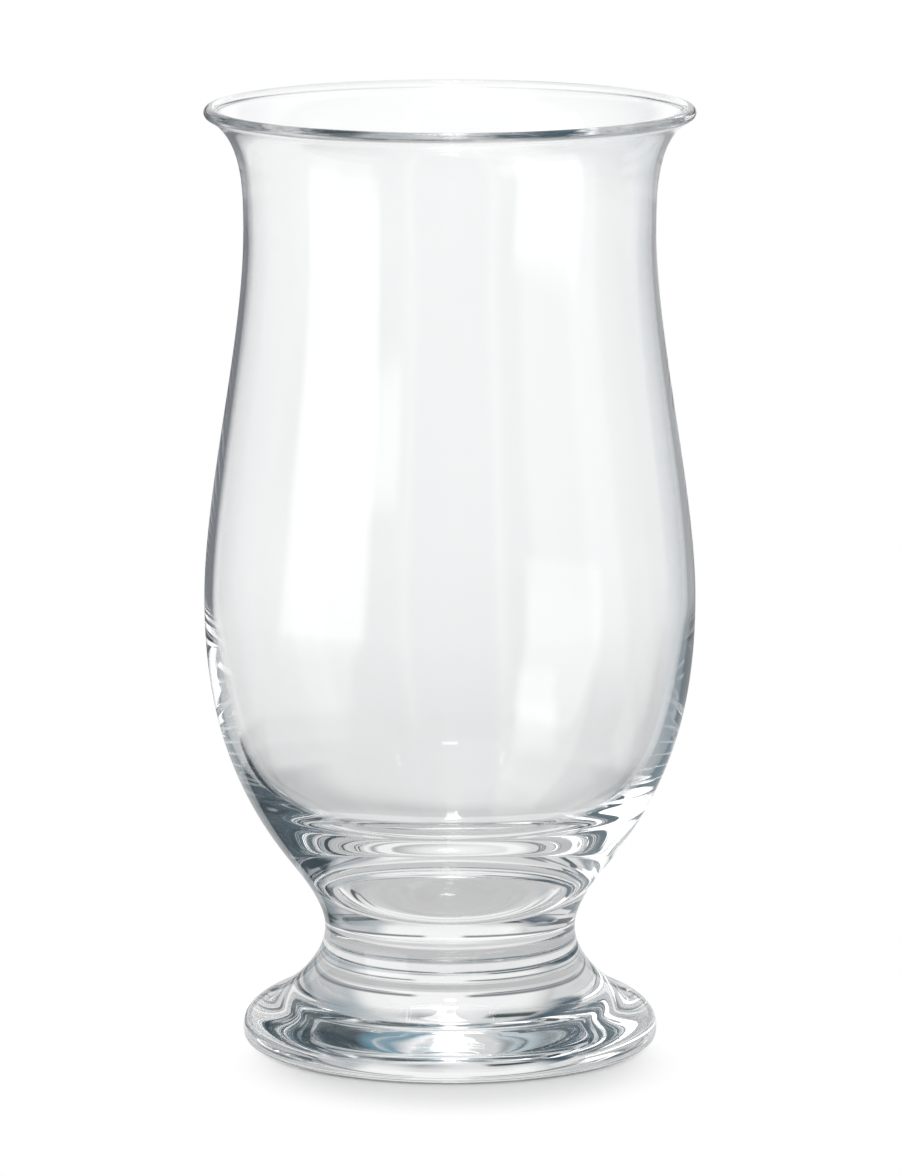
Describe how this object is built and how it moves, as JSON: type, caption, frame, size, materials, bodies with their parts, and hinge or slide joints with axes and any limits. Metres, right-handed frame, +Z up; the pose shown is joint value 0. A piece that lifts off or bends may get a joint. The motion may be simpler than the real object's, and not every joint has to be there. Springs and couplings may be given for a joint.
{
  "type": "beer glass",
  "caption": "Footed beer glass in clear glass: flared beaded lip, narrow neck, round belly, heavy solid bottom, short waisted stem and conical foot.",
  "frame": {"origin": "centre of the foot on the plane the glass stands on", "axes": "+Z up along the axis of the glass, from the foot to the mouth"},
  "size_m": [0.0832, 0.0832, 0.16],
  "materials": {
    "bowl_glass": "clear, fire polished",
    "stem_glass": "clear, fire polished",
    "foot_glass": "clear, fire polished"
  },
  "bodies": {
    "root": {"bowl": "bowl_glass", "stem": "stem_glass", "foot": "foot_glass"}
  },
  "joints": []
}
